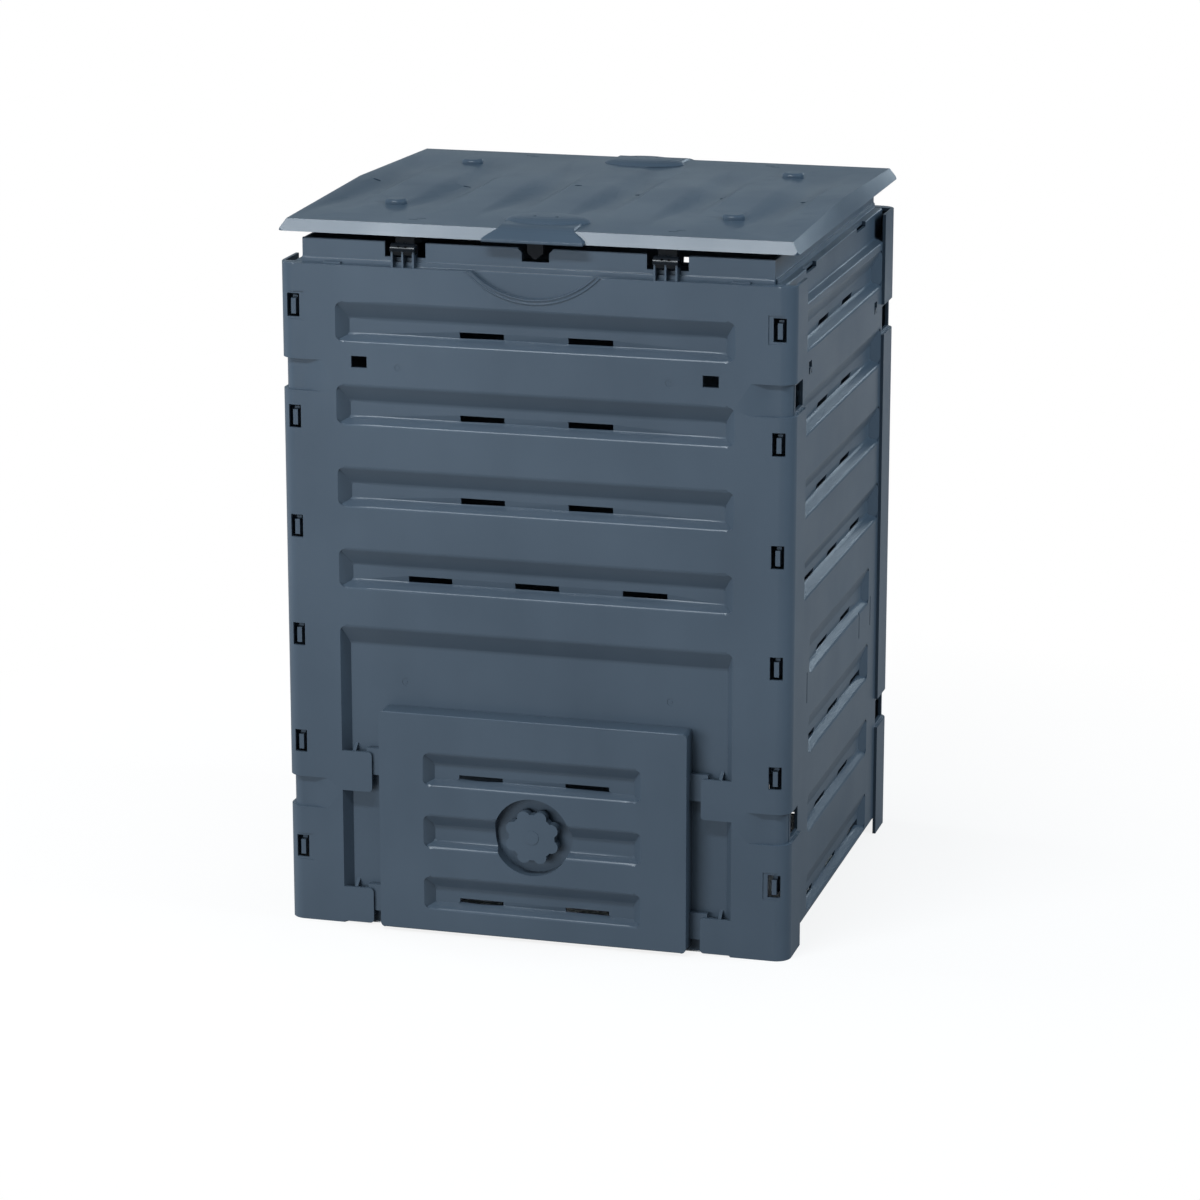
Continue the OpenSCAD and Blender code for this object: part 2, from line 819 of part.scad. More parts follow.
// The neck and the lip, cut out of their outlines from the front and from the side
module handle_lip(lip_out) {
    flare = lip_half - neck_half;
    high = lid_top + neck_h;
    start = lid_half_d - neck_in;
    reach = half_d + lip_out - start;
    drop = high - lid_edge;
    side = [for (p = flare_shares) [neck_half + flare * p[0], high - drop * p[1]]];
    profile = [for (p = lip_shares) [-start - reach * p[0], high - drop * p[1]]];
    intersection() {
        rotate([90, 0, 0])
            linear_extrude(bin_d)
                polygon(concat(side, [for (k = [len(side) - 1 : -1 : 0]) [-side[k][0], side[k][1]]]));
        along_x(concat([[-dome_y, lid_edge], [-dome_y, high]], profile), -lip_half, lip_half);
    }
}

module handle(lip_out) {
    color(body_blue)
    difference() {
        union() {
            handle_dome();
            handle_lip(lip_out);
        }
        along_x([[-lid_half_d, lid_edge], [edge_in - lid_half_d, sheet_z(lid_half_d - edge_in)],
            [0, sheet_z(0)], [0, 0], [-lid_half_d, 0]], -bin_w, bin_w);
        for (sx = [-1, 1])
            translate([sx * handle_hole_x, -handle_hole_y, lid_top - lead])
                cylinder(r = handle_hole_r, h = skirt_h);
    }
}

// Clips that hold the lid on the hinge pins

tine_gap = 0.5;
tine_low = rib_t / 2 + tine_gap;
tine_high = rib_step - rib_t / 2 - tine_gap;
clip_t = 3.2;
clip_arm_in = 16;
clip_arm_y = half_d - clip_arm_in;
clip_arm_t = 4;
clip_rise = 2;
clip_cross = pin_z + rib_r + clip_rise;
clip_hole_r = 1.6;
clip_hole_x = 4.4;
clip_hole_angle = 48;
hood_gap = 0.4;
hood_t = 1.8;
hood_r = rib_r + hood_gap + hood_t;
hood_over = 0.8;
hood_half = rib_step + rib_t / 2 + hood_over;

// Half a barrel over the ribs, with a slot for each rib
module clip_hood() {
    difference() {
        rod_x(-pin_y, pin_z, hood_r, -hood_half, hood_half);
        for (k = [-1 : 1])
            rod_x(-pin_y, pin_z, rib_r + hood_gap, k * rib_step - rib_t / 2 - tine_gap,
                k * rib_step + rib_t / 2 + tine_gap);
        for (sx = [-1, 1])
            rod_x(-pin_y, pin_z, rib_r + hood_gap, sx * hood_half - hood_over, sx * hood_half + hood_over);
        block([-bin_w, -bin_d, 0], [bin_w, 0, pin_z]);
    }
}

// Clip at the front, drawn round the pin's middle. An open one lifts off its pin.
module clip_shape(open) {
    bore_r = open ? pin_r + gap : pin_r + pin_clearance;
    difference() {
        union() {
            for (k = [-1, 0])
                translate([k * rib_step, 0, 0]) {
                    rod_x(-pin_y, pin_z, pin_r + clip_t, tine_low, tine_high);
                    block([tine_low, -clip_arm_y - clip_arm_t, pin_z],
                        [tine_high, -clip_arm_y, clip_cross + lead]);
                }
            along_x([[-clip_arm_y - clip_arm_t, clip_cross], [-clip_arm_y, clip_cross],
                [-clip_arm_y, skirt_in_z(clip_arm_y)],
                [-clip_arm_y - clip_arm_t, skirt_in_z(clip_arm_y + clip_arm_t)]],
                tine_low - rib_step, tine_high);
            if (open)
                clip_hood();
        }
        rod_x(-pin_y, pin_z, bore_r, -hinge_half, hinge_half);
        if (open)
            block([-hinge_half, -pin_y - bore_r, pin_z - hinge_half], [hinge_half, bore_r - pin_y, pin_z]);
        for (sx = [-1, 1])
            translate([sx * clip_hole_x, -pin_y, pin_z])
                rotate([clip_hole_angle, 0, 0])
                    cylinder(r = clip_hole_r, h = hood_r * 2);
    }
}

pin_clearance = 0.06;

module front_clip(x) {
    color(dark_blue)
        translate([x, 0, 0])
            clip_shape(true);
}

module rear_clip(x) {
    color(dark_blue)
        mirror([0, 1, 0])
            translate([x, 0, 0])
                clip_shape(false);
}

// Latch tongues below the lid's front and rear edges

latch_pivot_in = 21;
latch_pivot_rise = 4;
latch_pivot_y = half_d - latch_pivot_in;
latch_pivot_z = lid_edge + latch_pivot_rise;
latch_pin_r = 2;
latch_barrel_r = 3.2;
latch_w = 10;
latch_side_gap = 2;
latch_ear_in = latch_w + latch_side_gap;
latch_ear_t = 4;
latch_in = 12;
latch_plate_y = half_d - latch_in;
latch_plate_t = 3;
latch_tip_rise = 16;
latch_tip = wall_h + latch_tip_rise;
latch_point = 8;
latch_arm_drop = 4;
latch_arm_low = lid_edge - latch_arm_drop;
latch_arm_h = 3;
latch_nose_rise = 3;
latch_nose_z = latch_tip + latch_nose_rise;
latch_nose_h = 3;

module latch() {
    color(dark_blue) {
        translate([0, latch_plate_t - latch_plate_y, 0])
            rotate([90, 0, 0])
                linear_extrude(latch_plate_t)
                    polygon([[0, latch_tip], [latch_w, latch_tip + latch_point],
                        [latch_w, latch_arm_low + latch_arm_h], [-latch_w, latch_arm_low + latch_arm_h],
                        [-latch_w, latch_tip + latch_point]]);
        block([-latch_w / 2, -latch_plate_y, latch_nose_z + latch_point / 2],
            [latch_w / 2, latch_plate_t * 2 - latch_plate_y, latch_nose_z + latch_point / 2 + latch_nose_h]);
        block([-latch_w, -latch_plate_y, latch_arm_low], [latch_w, latch_barrel_r / 2 - latch_pivot_y,
            latch_arm_low + latch_arm_h]);
        block([-latch_w, -latch_barrel_r / 2 - latch_pivot_y, latch_arm_low],
            [latch_w, latch_barrel_r / 2 - latch_pivot_y, latch_pivot_z]);
        rod_x(-latch_pivot_y, latch_pivot_z, latch_barrel_r, -latch_w, latch_w);
        rod_x(-latch_pivot_y, latch_pivot_z, latch_pin_r, -latch_ear_in - latch_ear_t,
            latch_ear_in + latch_ear_t);
    }
}

// Ears on the lid that hold one latch's pin
module latch_ears() {
    difference() {
        for (sx = [0, 1])
            mirror([sx, 0, 0])
                along_x([[-latch_pivot_y - latch_barrel_r, latch_pivot_z - latch_barrel_r],
                    [latch_barrel_r - latch_pivot_y, latch_pivot_z - latch_barrel_r],
                    [latch_barrel_r - latch_pivot_y, lid_top - lid_skin / 2],
                    [-skirt_in_y, lid_top - lid_skin / 2],
                    [-latch_pivot_y - latch_barrel_r, latch_pivot_z]],
                    latch_ear_in, latch_ear_in + latch_ear_t);
        rod_x(-latch_pivot_y, latch_pivot_z, latch_pin_r + pin_clearance, -hinge_half, hinge_half);
    }
}

// Hatch

door_face = -half_d - door_proud;
door_back = hatch_depth - gap - half_d;
door_r = 6;
door_channel_in = 57.5;
door_channel_half = door_half - door_channel_in;
door_channel_low = 34;
door_channel_drop = 92.5;
door_channel_mid = (door_channel_low + door_top - door_channel_drop) / 2;
door_channel_lows = [door_channel_low, door_channel_mid, door_top - door_channel_drop];
door_channel_h = 42;
door_slot_in = 72.2;
door_slot_x = door_channel_half - door_slot_in;
door_channel_depth = 12;
door_runs = [12, 6, 16];
door_channel_r = 8;
door_slot_h = 7;
knob_rise = 23.6;
knob_z = door_channel_mid + knob_rise;
cup_depth = 19;
ear_h = 34.5;
ear_out = 28.5;
ear_step = 6;
ear_face = 0.5;
ear_t = 6.5;
shaft_r = 6;
boss_r = 12;
boss_len = 8;

module door_tray(k, grow, front) {
    low = door_channel_lows[k];
    tray(door_channel_half + grow, low - grow, low + door_channel_h + grow, door_channel_depth + grow,
        door_runs, door_channel_r + grow, front);
}

// Two slots in the lowest and in the highest channel of the hatch
module door_slots() {
    for (sx = [-1, 1], low = [door_channel_lows[0], door_channel_lows[2]])
        translate([sx * door_slot_x - slot_w / 2, door_channel_depth - lead, low + door_runs[1]])
            cube([slot_w, skin + lead * 2, door_slot_h]);
}

// Two ears at the right side of the hatch
module door_ears() {
    for (z = ear_lows) {
        block([door_half - skin, skin + ear_face - half_d, z],
            [door_half + ear_out, skin + ear_face + ear_t - half_d, z + ear_h - ear_step]);
        block([door_half - skin, skin + ear_face - half_d, z],
            [door_half + ear_out - ear_step, skin + ear_face + ear_t - half_d, z + ear_h]);
    }
}

module door_outline(inset) {
    translate([0, (door_low + door_top) / 2])
        rounded_2d(door_w - inset * 2, door_h - inset * 2, door_r - inset);
}

module door_panel() {
    depth = door_back - door_face;
    color(body_blue)
    union() {
        translate([0, door_face, 0])
            difference() {
                union() {
                    difference() {
                        translate([0, depth, 0])
                            rotate([90, 0, 0])
                                linear_extrude(depth)
                                    door_outline(0);
                        translate([0, depth + lead, 0])
                            rotate([90, 0, 0])
                                linear_extrude(depth + lead - skin)
                                    door_outline(skin);
                    }
                    for (k = [0 : len(door_channel_lows) - 1])
                        door_tray(k, skin, 0);
                    rod_y(0, knob_z, cup_d / 2 + skin, 0, cup_depth + skin);
                    rod_y(0, knob_z, boss_r, cup_depth, cup_depth + skin + boss_len);
                }
                for (k = [0 : len(door_channel_lows) - 1])
                    door_tray(k, 0, lead);
                door_slots();
                rod_y(0, knob_z, cup_d / 2, -lead, cup_depth);
                rod_y(0, knob_z, shaft_r + pin_clearance, 0, depth + boss_len);
            }
        for (sx = [0, 1])
            mirror([sx, 0, 0])
                door_ears();
    }
}

// Star knob, its shaft, and the pawl behind the hatch

knob_sink = 1;
knob_t = 13;
knob_front = door_face + knob_sink;
knob_back = knob_front + knob_t;
lobe_count = 8;
lobe_r = 8.5;
lobe_at = knob_d / 2 - lobe_r;
lobe_out = 6;
knob_core = knob_d / 2 - lobe_out;
knob_neck_r = 13;
knob_cap_r = 9;
knob_cap_h = 0.8;
shaft_sink = 5;
shaft_front = knob_front + shaft_sink;
pawl_gap = 4;
pawl_face = skin + hatch_depth + pawl_gap - half_d;
pawl_t = 4;
pawl_hub_r = 15;
pawl_w = 22;
pawl_tip_r = 8;
screw_head_r = 8;
screw_head_h = 3;
screw_r = 2.5;
screw_len = 20;
screw_slot = 1.2;

module knob() {
    color(body_blue)
    difference() {
        union() {
            rod_y(0, knob_z, knob_core, knob_front, knob_back);
            for (k = [0 : lobe_count - 1])
                rod_y(lobe_at * cos((k + 0.5) * 360 / lobe_count),
                    knob_z + lobe_at * sin((k + 0.5) * 360 / lobe_count), lobe_r, knob_front, knob_back);
            rod_y(0, knob_z, knob_neck_r, knob_back - lead, door_face + cup_depth - gap);
            rod_y(0, knob_z, knob_cap_r, knob_front - knob_cap_h, knob_back);
        }
        rod_y(0, knob_z, shaft_r, shaft_front, 0);
    }
}

module knob_shaft() {
    color(dark_blue)
    difference() {
        rod_y(0, knob_z, shaft_r, shaft_front, pawl_face + pawl_t);
        rod_y(0, knob_z, screw_r, pawl_face + pawl_t - screw_len, 0);
    }
}

module lock_pawl() {
    color(dark_blue)
    difference() {
        union() {
            rod_y(0, knob_z, pawl_hub_r, pawl_face, pawl_face + pawl_t);
            block([-pawl_w / 2, pawl_face, knob_z], [pawl_w / 2, pawl_face + pawl_t,
                knob_z + pawl_len - pawl_tip_r]);
            block([pawl_tip_r - pawl_w / 2, pawl_face, knob_z], [pawl_w / 2 - pawl_tip_r,
                pawl_face + pawl_t, knob_z + pawl_len]);
            for (sx = [-1, 1])
                rod_y(sx * (pawl_w / 2 - pawl_tip_r), knob_z + pawl_len - pawl_tip_r, pawl_tip_r,
                    pawl_face, pawl_face + pawl_t);
        }
        rod_y(0, knob_z, shaft_r, -half_d, 0);
    }
}

module pawl_screw() {
    color("silver")
    difference() {
        union() {
            rod_y(0, knob_z, screw_head_r, pawl_face + pawl_t, pawl_face + pawl_t + screw_head_h);
            rod_y(0, knob_z, screw_r, pawl_face + pawl_t - screw_len, pawl_face + pawl_t + lead);
        }
        block([-screw_head_r, pawl_face + pawl_t + screw_head_h - screw_slot, knob_z - screw_slot / 2],
            [screw_head_r, pawl_face + pawl_t + screw_head_h + lead, knob_z + screw_slot / 2]);
    }
}

front_wall();
rear_wall();
left_wall();
right_wall();
hinge_pin(-hinge_x, -1);  // front_hinge_pin_left
hinge_pin(hinge_x, -1);  // front_hinge_pin_right
hinge_pin(-hinge_x, 1);  // rear_hinge_pin_left
hinge_pin(hinge_x, 1);  // rear_hinge_pin_right
lid();
handle(front_lip_out);  // front_handle
mirror([0, 1, 0]) handle(rear_lip_out);  // rear_handle
front_clip(-hinge_x);  // front_clip_left
front_clip(hinge_x);  // front_clip_right
rear_clip(-hinge_x);  // rear_hinge_clip_left
rear_clip(hinge_x);  // rear_hinge_clip_right
latch();  // front_latch
mirror([0, 1, 0]) latch();  // rear_latch
door_panel();
knob();
knob_shaft();
lock_pawl();
pawl_screw();
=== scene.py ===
import json
import math

import bmesh
import bpy
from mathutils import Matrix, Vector


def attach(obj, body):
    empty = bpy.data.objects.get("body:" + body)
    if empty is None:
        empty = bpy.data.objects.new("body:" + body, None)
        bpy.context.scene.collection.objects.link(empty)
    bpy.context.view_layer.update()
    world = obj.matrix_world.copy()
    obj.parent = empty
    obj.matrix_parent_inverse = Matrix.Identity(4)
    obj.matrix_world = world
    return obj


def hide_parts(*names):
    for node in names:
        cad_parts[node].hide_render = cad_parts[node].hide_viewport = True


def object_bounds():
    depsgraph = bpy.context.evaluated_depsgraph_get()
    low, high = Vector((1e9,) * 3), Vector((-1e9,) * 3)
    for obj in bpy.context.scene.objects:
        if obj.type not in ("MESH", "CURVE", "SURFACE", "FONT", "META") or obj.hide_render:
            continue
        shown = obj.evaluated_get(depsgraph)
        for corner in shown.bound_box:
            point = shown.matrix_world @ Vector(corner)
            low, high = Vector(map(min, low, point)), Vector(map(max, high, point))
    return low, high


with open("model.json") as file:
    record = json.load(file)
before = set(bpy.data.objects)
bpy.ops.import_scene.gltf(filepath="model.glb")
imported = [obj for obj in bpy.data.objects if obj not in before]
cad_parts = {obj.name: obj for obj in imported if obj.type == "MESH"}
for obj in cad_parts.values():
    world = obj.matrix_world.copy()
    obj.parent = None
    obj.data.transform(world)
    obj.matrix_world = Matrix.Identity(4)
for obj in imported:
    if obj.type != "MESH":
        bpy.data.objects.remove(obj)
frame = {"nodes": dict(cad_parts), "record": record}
cad_low, cad_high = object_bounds()

MM = 0.001

# Colours, linear
WHITE = (1, 1, 1)
COOL_WHITE = (0.76, 0.9, 1.0)
PALE_BLUE = (0.88, 0.95, 1.0)
BODY_BLUE = (0.067, 0.094, 0.127)
BODY_DEEP = (0.057, 0.081, 0.111)
# The lid's colour and its deeper clouds are the body's, painted about a sixth darker: painted
# shade for the dimmer light on the lid
LID_SHADED_BLUE = (0.054, 0.079, 0.110)
LID_SHADED_DEEP = (0.046, 0.069, 0.097)
DARK_PLASTIC = (0.006, 0.008, 0.011)
LATCH_PLASTIC = (0.012, 0.014, 0.017)
ZINC = (0.55, 0.56, 0.57)

# Camera, fitted to the corners of the bin in the photograph
CAMERA_PLACE = Vector((1407.5, -5129.5, 1783.8)) * MM
CAMERA_YAW = 0.2674
CAMERA_PITCH = 0.2608
FOCAL_PIXELS = 4233.6
IMAGE_PIXELS = 1200
SENSOR_WIDTH = 36
VIEW_REACH = 100

# Floor: half its width, its colour to the camera and to all other rays, and the share of plain
# white in it, which grows from SHADOW_NEAR to SHADOW_FAR so that the bin's shadow stays
FLOOR_REACH = 30
FLOOR_SEEN = (0.9, 0.9, 0.9)
FLOOR_BOUNCE = (0.22, 0.22, 0.22)
SHADOW_SHARE = 0.84
SHADOW_NEAR = 0.45
SHADOW_FAR = 1.3
GLOSSY_SHARE = 0.1
WALL_INSET = 25 * MM

# Light from all round, and the lamps: sizes in metres, power in watts
WORLD_STRENGTH = 0.2
LOW_MIDDLE = (0, 0, 0.4)
LAMPS = {
    "strip_box": dict(place=(-0.7, -2.24, 3.4), aim=(-0.7, -0.3, 0.9), size=(2.0, 0.3), power=78,
                      mirrored=True, colour=PALE_BLUE),
    "front_box": dict(place=(-1.6, -4.2, 0.5), aim=LOW_MIDDLE, size=(2.4, 2.0), power=134,
                      mirrored=False, colour=WHITE),
    "side_box": dict(place=(3.4, 0.0, 2.6), aim=LOW_MIDDLE, size=(1.6, 2.0), power=100,
                     mirrored=False, colour=COOL_WHITE),
    "left_box": dict(place=(-3.6, 0.3, 1.5), aim=(0, 0, 0.9), size=(2.0, 0.5), power=96,
                     mirrored=False, colour=WHITE),
    "rear_box": dict(place=(-1.3, 4.7, 1.85), aim=(0, 0, 0.9), size=(4.0, 0.22), power=3.0,
                     mirrored=True, colour=COOL_WHITE),
    "lip_box": dict(place=(1.1, 4.7, 1.5), aim=(0.33, 0, 0.5), size=(1.2, 0.5), power=7,
                    mirrored=True, colour=COOL_WHITE),
    "back_box": dict(place=(0, 4.4, 0.7), aim=LOW_MIDDLE, size=(1.8, 2.0), power=86,
                     mirrored=False, colour=WHITE),
}

# Moulded plastics: colour and its deeper clouds, roughness, strength of grain and waves, specular
PLASTICS = {
    "bin_plastic": dict(colour=BODY_BLUE, deep=BODY_DEEP, roughness=0.305, grain=0.25, wave=0.12,
                        specular=0.42),
    # The lid plastic is the bin plastic with painted shade: its colour is painted darker, not lit
    # darker
    "lid_plastic_painted_shade": dict(colour=LID_SHADED_BLUE, deep=LID_SHADED_DEEP, roughness=0.3, grain=0.2, wave=0.12,
                        specular=0.45),
    "hinge_plastic": dict(colour=DARK_PLASTIC, deep=DARK_PLASTIC, roughness=0.2, grain=0.04,
                          wave=0.02, specular=0.3),
    "latch_plastic": dict(colour=LATCH_PLASTIC, deep=LATCH_PLASTIC, roughness=0.5, grain=0.1,
                          wave=0.05, specular=0.2),
}
SLOT_FINISH = {"dark_plastic": "hinge_plastic"}
# The lid and its handles take the lid plastic, whose darker colour is painted shade
NODE_FINISH = {"lid": "lid_plastic_painted_shade", "front_handle": "lid_plastic_painted_shade", "rear_handle": "lid_plastic_painted_shade",
               "front_latch": "latch_plastic", "rear_latch": "latch_plastic",
               "pawl_screw": "zinc_steel"}

# Noise of the plastics: scale and detail, and the part of its range that is used
NOISE_RANGE = (0.3, 0.7)
CLOUD_SCALE, CLOUD_DETAIL, CLOUD_RANGE = 4.5, 4, (0.35, 0.65)
FLOW_SCALE, FLOW_STRETCH = 16, (1, 1, 0.22)
FLOW_SHARE = 0.3
FLOW_PALER = 1.16
GLOSS_SCALE = 7
GLOSS_SMOOTHER, GLOSS_ROUGHER = 0.02, 0.05
WAVE_SCALE, WAVE_DETAIL, WAVE_HEIGHT = 30, 2, 0.0006
GRAIN_SCALE, GRAIN_DETAIL, GRAIN_ROUGHNESS, GRAIN_HEIGHT = 1700, 2, 0.6, 0.00012

# Noise of the plated screw
ZINC_DEEPER = 0.8
ZINC_CLOUD_SCALE = 300
ZINC_LINE_SCALE = 900
ZINC_ROUGHNESS = (0.28, 0.42)

# Edge rounding of the moulded pieces; flat faces stay flat in the shading
EDGE_ROUND = 1.8 * MM
FINE_ROUND = 0.5 * MM
EDGE_STEPS = 2
WELD_DISTANCE = 0.02 * MM
EDGE_ANGLE = math.radians(24)
FLAT_ANGLE = math.radians(0.4)
NORMAL_WEIGHT = 80
BIG_PIECES = {"front_wall", "rear_wall", "left_wall", "right_wall", "lid", "front_handle",
              "rear_handle", "door_panel", "knob"}

# Rolled edges of the panels: radius, shortest and longest edge, and least and most turn in degrees
ROLL_STEPS = 4
ANY_HEIGHT = -1
CHANNEL_TALL = 60 * MM
CHANNEL_LIPS = dict(radius=2.2 * MM, lengths=(34 * MM, 1), turns=(17, 72))
PANEL_RIMS = dict(radius=1.5 * MM, lengths=(100 * MM, 1), turns=(72, 95))
RECESS_BEAD = dict(radius=0.55 * MM, lengths=(2.5 * MM, 16 * MM), turns=(80, 95),
                   lowest=808 * MM)
OUTWARD = {"front_wall": (0, -1, 0), "rear_wall": (0, 1, 0), "left_wall": (-1, 0, 0),
           "right_wall": (1, 0, 0), "door_panel": (0, -1, 0)}


# Materials

class Shader:
    """A material's node tree with short calls to build it."""

    def __init__(self, name):
        self.material = bpy.data.materials.new(name)
        self.material.use_nodes = True
        self.tree = self.material.node_tree
        self.surface = self.tree.nodes["Principled BSDF"]
        self.place = self.add("ShaderNodeTexCoord").outputs["Object"]

    def add(self, kind, **settings):
        made = self.tree.nodes.new(kind)
        for key, value in settings.items():
            setattr(made, key, value)
        return made

    def link(self, source, target):
        self.tree.links.new(source, target)

    def stretched(self, scale):
        """Object coordinates scaled along each axis."""
        mapping = self.add("ShaderNodeMapping")
        mapping.inputs["Scale"].default_value = scale
        self.link(self.place, mapping.inputs["Vector"])
        return mapping.outputs["Vector"]

    def noise(self, scale, detail=3, roughness=0.5, stretch=(1, 1, 1)):
        made = self.add("ShaderNodeTexNoise")
        made.inputs["Scale"].default_value = scale
        made.inputs["Detail"].default_value = detail
        made.inputs["Roughness"].default_value = roughness
        self.link(self.stretched(stretch), made.inputs["Vector"])
        return made.outputs["Fac"]

    def remap(self, value, source, target):
        """The value moved from the source range to the target range."""
        made = self.add("ShaderNodeMapRange")
        made.inputs["From Min"].default_value, made.inputs["From Max"].default_value = source
        made.inputs["To Min"].default_value, made.inputs["To Max"].default_value = target
        self.link(value, made.inputs["Value"])
        return made.outputs["Result"]

    def maths(self, operation, first, second=0):
        made = self.add("ShaderNodeMath", operation=operation)
        for socket, value in zip(made.inputs, (first, second)):
            if isinstance(value, (int, float)):
                socket.default_value = value
            else:
                self.link(value, socket)
        return made.outputs["Value"]

    def blend(self, factor, first, second):
        made = self.add("ShaderNodeMix", data_type="RGBA")
        self.link(factor, made.inputs["Factor"])
        for socket, colour in ((made.inputs["A"], first), (made.inputs["B"], second)):
            if isinstance(colour, tuple):
                socket.default_value = (*colour, 1)
            else:
                self.link(colour, socket)
        return made.outputs["Result"]

    def bump(self, height, strength, distance, below=None):
        made = self.add("ShaderNodeBump")
        made.inputs["Strength"].default_value = strength
        made.inputs["Distance"].default_value = distance
        self.link(height, made.inputs["Height"])
        if below:
            self.link(below, made.inputs["Normal"])
        return made.outputs["Normal"]


def moulded_plastic(name, colour, deep, roughness, grain, wave, specular):
    """Satin moulded plastic: a fine grain, cloudy flow and slight gloss changes."""
    shader = Shader(name)
    cloud = shader.remap(shader.noise(CLOUD_SCALE, CLOUD_DETAIL), CLOUD_RANGE, (0, 1))
    flow = shader.remap(shader.noise(FLOW_SCALE, stretch=FLOW_STRETCH), NOISE_RANGE, (0, 1))
    paler = tuple(channel * FLOW_PALER for channel in colour)
    tint = shader.blend(cloud, colour, deep)
    tint = shader.blend(shader.remap(flow, (0, 1), (0, FLOW_SHARE)), tint, paler)
    shader.link(tint, shader.surface.inputs["Base Color"])
    gloss = shader.remap(shader.noise(GLOSS_SCALE), NOISE_RANGE,
                         (roughness - GLOSS_SMOOTHER, roughness + GLOSS_ROUGHER))
    shader.link(gloss, shader.surface.inputs["Roughness"])
    waves = shader.bump(shader.noise(WAVE_SCALE, WAVE_DETAIL), wave, WAVE_HEIGHT)
    grains = shader.noise(GRAIN_SCALE, GRAIN_DETAIL, GRAIN_ROUGHNESS)
    fine = shader.bump(grains, grain, GRAIN_HEIGHT, waves)
    shader.link(fine, shader.surface.inputs["Normal"])
    shader.surface.inputs["Specular IOR Level"].default_value = specular
    return shader.material


def zinc_steel(name):
    """Plated screw steel with fine turned lines."""
    shader = Shader(name)
    shader.surface.inputs["Metallic"].default_value = 1
    deeper = tuple(channel * ZINC_DEEPER for channel in ZINC)
    shader.link(shader.blend(shader.noise(ZINC_CLOUD_SCALE), ZINC, deeper),
                shader.surface.inputs["Base Color"])
    shader.link(shader.remap(shader.noise(ZINC_LINE_SCALE), NOISE_RANGE, ZINC_ROUGHNESS),
                shader.surface.inputs["Roughness"])
    return shader.material


# Meshes

def rolled(mesh, outward, radius, lengths, turns, lowest=ANY_HEIGHT):
    """Rolls edges of a panel's outer side, as on its channels and rims, but not tall ones."""
    least, most = (math.radians(turn) for turn in turns)
    edges = []
    for edge in mesh.edges:
        start, end = (corner.co for corner in edge.verts)
        facing = sum((face.normal for face in edge.link_faces), Vector()).dot(outward)
        right_length = lengths[0] < edge.calc_length() < lengths[1]
        right_turn = least < abs(edge.calc_face_angle(0)) < most
        right_place = (facing > 0 and min(start.z, end.z) > lowest
                       and abs(end.z - start.z) <= CHANNEL_TALL)
        if right_length and right_turn and right_place:
            edges.append(edge)
    made = bmesh.ops.bevel(mesh, geom=edges, offset=radius, offset_type="OFFSET",
                           segments=ROLL_STEPS, profile=0.5, affect="EDGES",
                           clamp_overlap=False, miter_outer="SHARP", loop_slide=True)
    for face in made["faces"]:
        face.smooth = True


def softened(node, width, material):
    """A copy of a CAD node with its edges rounded, shown in its place."""
    mesh = bmesh.new()
    mesh.from_mesh(frame["nodes"][node].data)
    bmesh.ops.remove_doubles(mesh, verts=mesh.verts, dist=WELD_DISTANCE)
    for face in mesh.faces:
        face.smooth = any(FLAT_ANGLE < abs(edge.calc_face_angle(0)) < EDGE_ANGLE
                          for edge in face.edges)
    if node in OUTWARD:
        for kind in (CHANNEL_LIPS, PANEL_RIMS, RECESS_BEAD):
            rolled(mesh, Vector(OUTWARD[node]), **kind)
    data = bpy.data.meshes.new(node + "_soft")
    mesh.to_mesh(data)
    mesh.free()
    piece = bpy.data.objects.new(node + "_soft", data)
    bpy.context.scene.collection.objects.link(piece)
    bevel = piece.modifiers.new("edges", "BEVEL")
    bevel.width = width
    bevel.segments = EDGE_STEPS
    bevel.limit_method = "ANGLE"
    bevel.angle_limit = EDGE_ANGLE
    bevel.miter_outer = "MITER_ARC"
    shade = piece.modifiers.new("normals", "WEIGHTED_NORMAL")
    shade.keep_sharp = True
    shade.weight = NORMAL_WEIGHT
    depsgraph = bpy.context.evaluated_depsgraph_get()
    solid = bpy.data.meshes.new_from_object(piece.evaluated_get(depsgraph))
    piece.modifiers.clear()
    piece.data = solid
    solid.materials.clear()
    solid.materials.append(material)
    bodies = frame["record"]["behaviour"]["bodies"]
    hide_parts(node)
    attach(piece, next(body for body, names in bodies.items() if node in names))


def slot_of(node):
    return next(part["material_slot"] for part in frame["record"]["subparts"]
                if part["node"] == node)


# Studio

def camera():
    data = bpy.data.cameras.new("camera")
    data.sensor_width = SENSOR_WIDTH
    data.lens = FOCAL_PIXELS * SENSOR_WIDTH / IMAGE_PIXELS
    data.clip_end = VIEW_REACH
    made = bpy.data.objects.new("camera", data)
    made.location = CAMERA_PLACE
    made.rotation_euler = (math.pi / 2 - CAMERA_PITCH, 0, CAMERA_YAW)
    bpy.context.scene.collection.objects.link(made)
    bpy.context.scene.camera = made


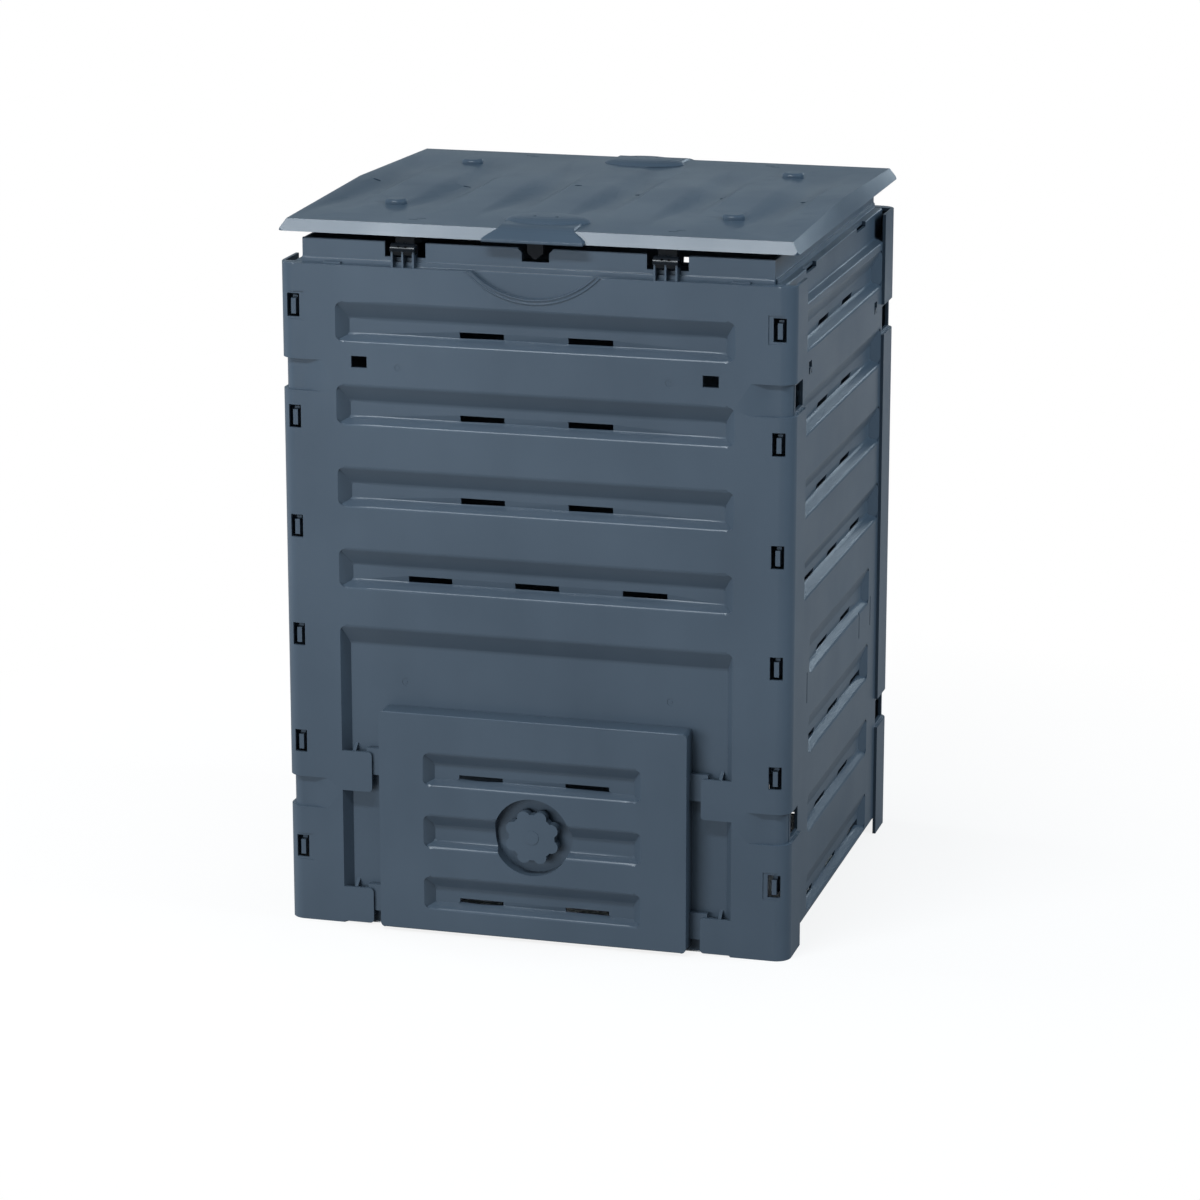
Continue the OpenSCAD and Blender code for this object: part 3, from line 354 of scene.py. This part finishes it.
def pale_floor():
    """A wide floor, white to the camera, with the bin's soft shadow. It stays dark in the bin."""
    data = bpy.data.meshes.new("floor")
    data.from_pydata([(-FLOOR_REACH, -FLOOR_REACH, 0), (FLOOR_REACH, -FLOOR_REACH, 0),
                      (FLOOR_REACH, FLOOR_REACH, 0), (-FLOOR_REACH, FLOOR_REACH, 0)],
                     [], [(0, 1, 2, 3)])
    floor = bpy.data.objects.new("floor", data)
    bpy.context.scene.collection.objects.link(floor)
    shader = Shader("floor_white")
    diffuse = shader.add("ShaderNodeBsdfDiffuse")
    glow = shader.add("ShaderNodeEmission")
    rays = shader.add("ShaderNodeLightPath")
    shader.link(shader.blend(rays.outputs["Is Camera Ray"], FLOOR_BOUNCE, FLOOR_SEEN),
                diffuse.inputs["Color"])
    axes = shader.add("ShaderNodeSeparateXYZ")
    shader.link(shader.place, axes.inputs["Vector"])
    inner_x, inner_y = (side - WALL_INSET for side in cad_high[:2])
    across = shader.maths("LESS_THAN", shader.maths("ABSOLUTE", axes.outputs["X"]), inner_x)
    along = shader.maths("LESS_THAN", shader.maths("ABSOLUTE", axes.outputs["Y"]), inner_y)
    outside = shader.maths("SUBTRACT", 1, shader.maths("MULTIPLY", across, along))
    distance = shader.add("ShaderNodeVectorMath", operation="LENGTH")
    shader.link(shader.place, distance.inputs[0])
    spread = shader.remap(distance.outputs["Value"], (SHADOW_NEAR, SHADOW_FAR),
                          (SHADOW_SHARE, 1))
    glossy = shader.maths("MULTIPLY", rays.outputs["Is Glossy Ray"], GLOSSY_SHARE)
    seen = shader.maths("ADD", rays.outputs["Is Camera Ray"], glossy)
    share = shader.maths("MULTIPLY", shader.maths("MULTIPLY", seen, spread), outside)
    mix = shader.add("ShaderNodeMixShader")
    shader.link(share, mix.inputs["Fac"])
    shader.link(diffuse.outputs["BSDF"], mix.inputs[1])
    shader.link(glow.outputs["Emission"], mix.inputs[2])
    output = shader.tree.nodes["Material Output"]
    shader.link(mix.outputs["Shader"], output.inputs["Surface"])
    data.materials.append(shader.material)


def white_world():
    """Soft light from all round, and plain white where the camera sees past the floor."""
    world = bpy.data.worlds.new("studio")
    world.use_nodes = True
    tree = world.node_tree
    background = tree.nodes["Background"]
    rays = tree.nodes.new("ShaderNodeLightPath")
    level = tree.nodes.new("ShaderNodeMapRange")
    level.inputs["To Min"].default_value = WORLD_STRENGTH
    level.inputs["To Max"].default_value = 1
    tree.links.new(rays.outputs["Is Camera Ray"], level.inputs["Value"])
    tree.links.new(level.outputs["Result"], background.inputs["Strength"])
    tint = tree.nodes.new("ShaderNodeMix")
    tint.data_type = "RGBA"
    tint.inputs["A"].default_value = (*COOL_WHITE, 1)
    tint.inputs["B"].default_value = (*WHITE, 1)
    tree.links.new(rays.outputs["Is Camera Ray"], tint.inputs["Factor"])
    tree.links.new(tint.outputs["Result"], background.inputs["Color"])
    bpy.context.scene.world = world


def soft_box(name, place, aim, size, power, mirrored, colour):
    """A rectangular studio lamp, also seen in the plastic's sheen where mirrored is set."""
    data = bpy.data.lights.new(name, "AREA")
    data.shape = "RECTANGLE"
    data.size, data.size_y = size
    data.energy = power
    data.color = colour
    lamp = bpy.data.objects.new(name, data)
    lamp.location = place
    lamp.rotation_mode = "QUATERNION"
    lamp.rotation_quaternion = (Vector(aim) - Vector(place)).to_track_quat("-Z", "Y")
    lamp.visible_glossy = mirrored
    bpy.context.scene.collection.objects.link(lamp)


camera()
pale_floor()
white_world()
for name, settings in LAMPS.items():
    soft_box(name, **settings)

finishes = {name: moulded_plastic(name, **settings) for name, settings in PLASTICS.items()}
finishes["zinc_steel"] = zinc_steel("zinc_steel")

for name in frame["nodes"]:
    finish = NODE_FINISH.get(name, SLOT_FINISH.get(slot_of(name), "bin_plastic"))
    softened(name, EDGE_ROUND if name in BIG_PIECES else FINE_ROUND, finishes[finish])

bpy.context.scene.view_settings.view_transform = "Standard"
